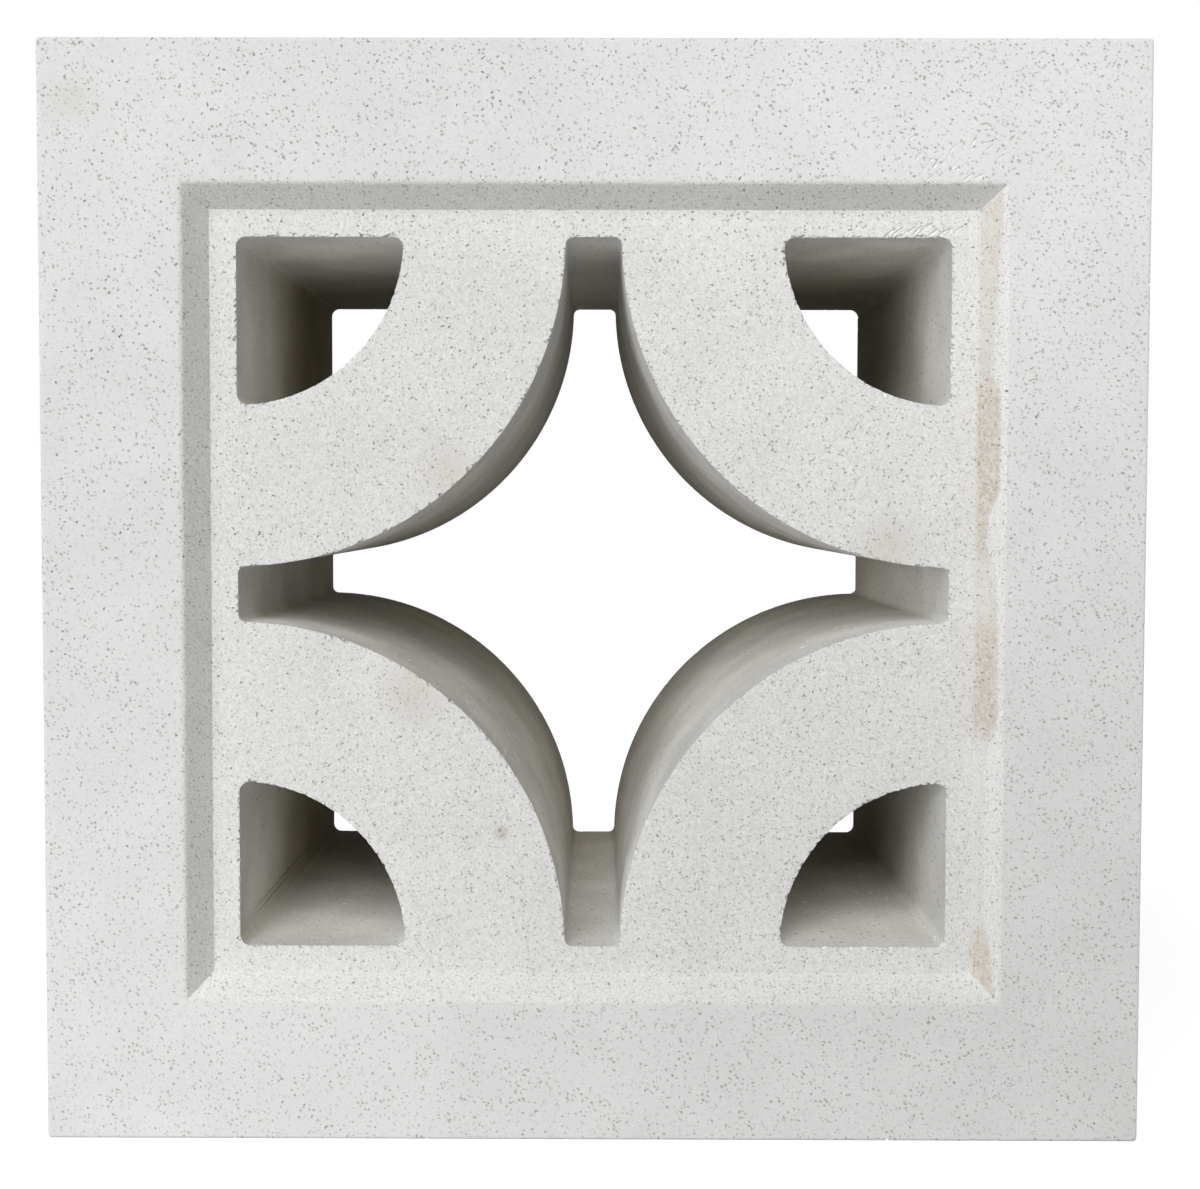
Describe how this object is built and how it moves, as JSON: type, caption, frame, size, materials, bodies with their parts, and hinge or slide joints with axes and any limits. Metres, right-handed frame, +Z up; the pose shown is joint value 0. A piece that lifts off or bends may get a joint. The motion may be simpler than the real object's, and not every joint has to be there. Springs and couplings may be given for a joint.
{
  "type": "decorative screen block",
  "caption": "Square pierced concrete screen block: a splayed recess frames quarter-ring bars round a star-shaped opening, to be laid in mortar as a see-through wall.",
  "frame": {"origin": "centre of the bed face that the block stands on", "axes": "+Z up; -Y out of the patterned front face, +Y out of the plain back; X along the width"},
  "size_m": [0.19, 0.09, 0.19],
  "materials": {
    "concrete": "matt off-white pressed concrete with fine grey pits"
  },
  "bodies": {
    "root": {"screen_block": "concrete"}
  },
  "joints": []
}
